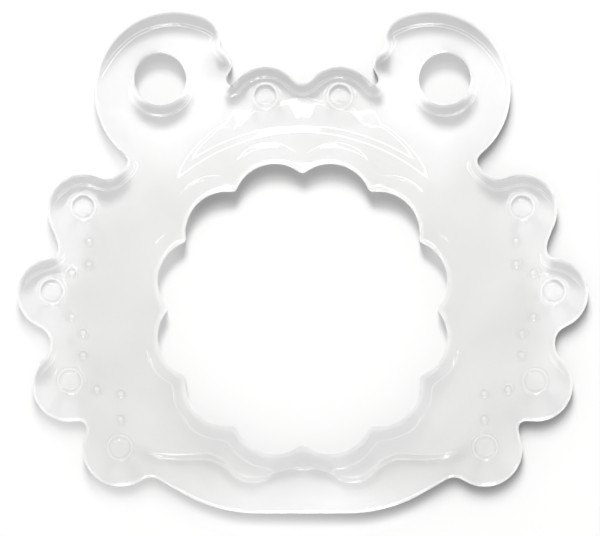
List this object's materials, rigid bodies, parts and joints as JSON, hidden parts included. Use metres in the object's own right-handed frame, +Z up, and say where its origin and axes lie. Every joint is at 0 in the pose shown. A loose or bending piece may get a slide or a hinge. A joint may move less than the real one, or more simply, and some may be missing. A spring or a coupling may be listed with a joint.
{
  "type": "teething ring",
  "caption": "Crab-shaped clear silicone teething ring with a scalloped hand opening, two pierced claws and raised gum-massage buttons.",
  "frame": {"origin": "middle of the whole outline in plan, on the flat underside that the ring lies on", "axes": "+X to the claws' right as seen from above, +Y from the flat chin towards the claws, +Z up out of the crowned face"},
  "size_m": [0.1, 0.0878, 0.01],
  "materials": {
    "clear_silicone": "gloss",
    "raised_details": "gloss"
  },
  "bodies": {
    "root": {"chin_grip": "clear_silicone", "left_claw": "clear_silicone", "left_claw_thumb": "clear_silicone", "left_eye_button": "raised_details", "left_eye_lobe": "clear_silicone", "left_leg_1": "clear_silicone", "left_leg_1_button": "raised_details", "left_leg_2": "clear_silicone", "left_leg_2_button": "raised_details", "left_leg_3": "clear_silicone", "left_leg_3_button": "raised_details", "left_leg_4": "clear_silicone", "left_leg_4_button": "raised_details", "left_pips": "raised_details", "right_claw": "clear_silicone", "right_claw_thumb": "clear_silicone", "right_eye_button": "raised_details", "right_eye_lobe": "clear_silicone", "right_leg_1": "clear_silicone", "right_leg_1_button": "raised_details", "right_leg_2": "clear_silicone", "right_leg_2_button": "raised_details", "right_leg_3": "clear_silicone", "right_leg_3_button": "raised_details", "right_leg_4": "clear_silicone", "right_leg_4_button": "raised_details", "right_pips": "raised_details", "ring_body": "clear_silicone"}
  },
  "joints": []
}
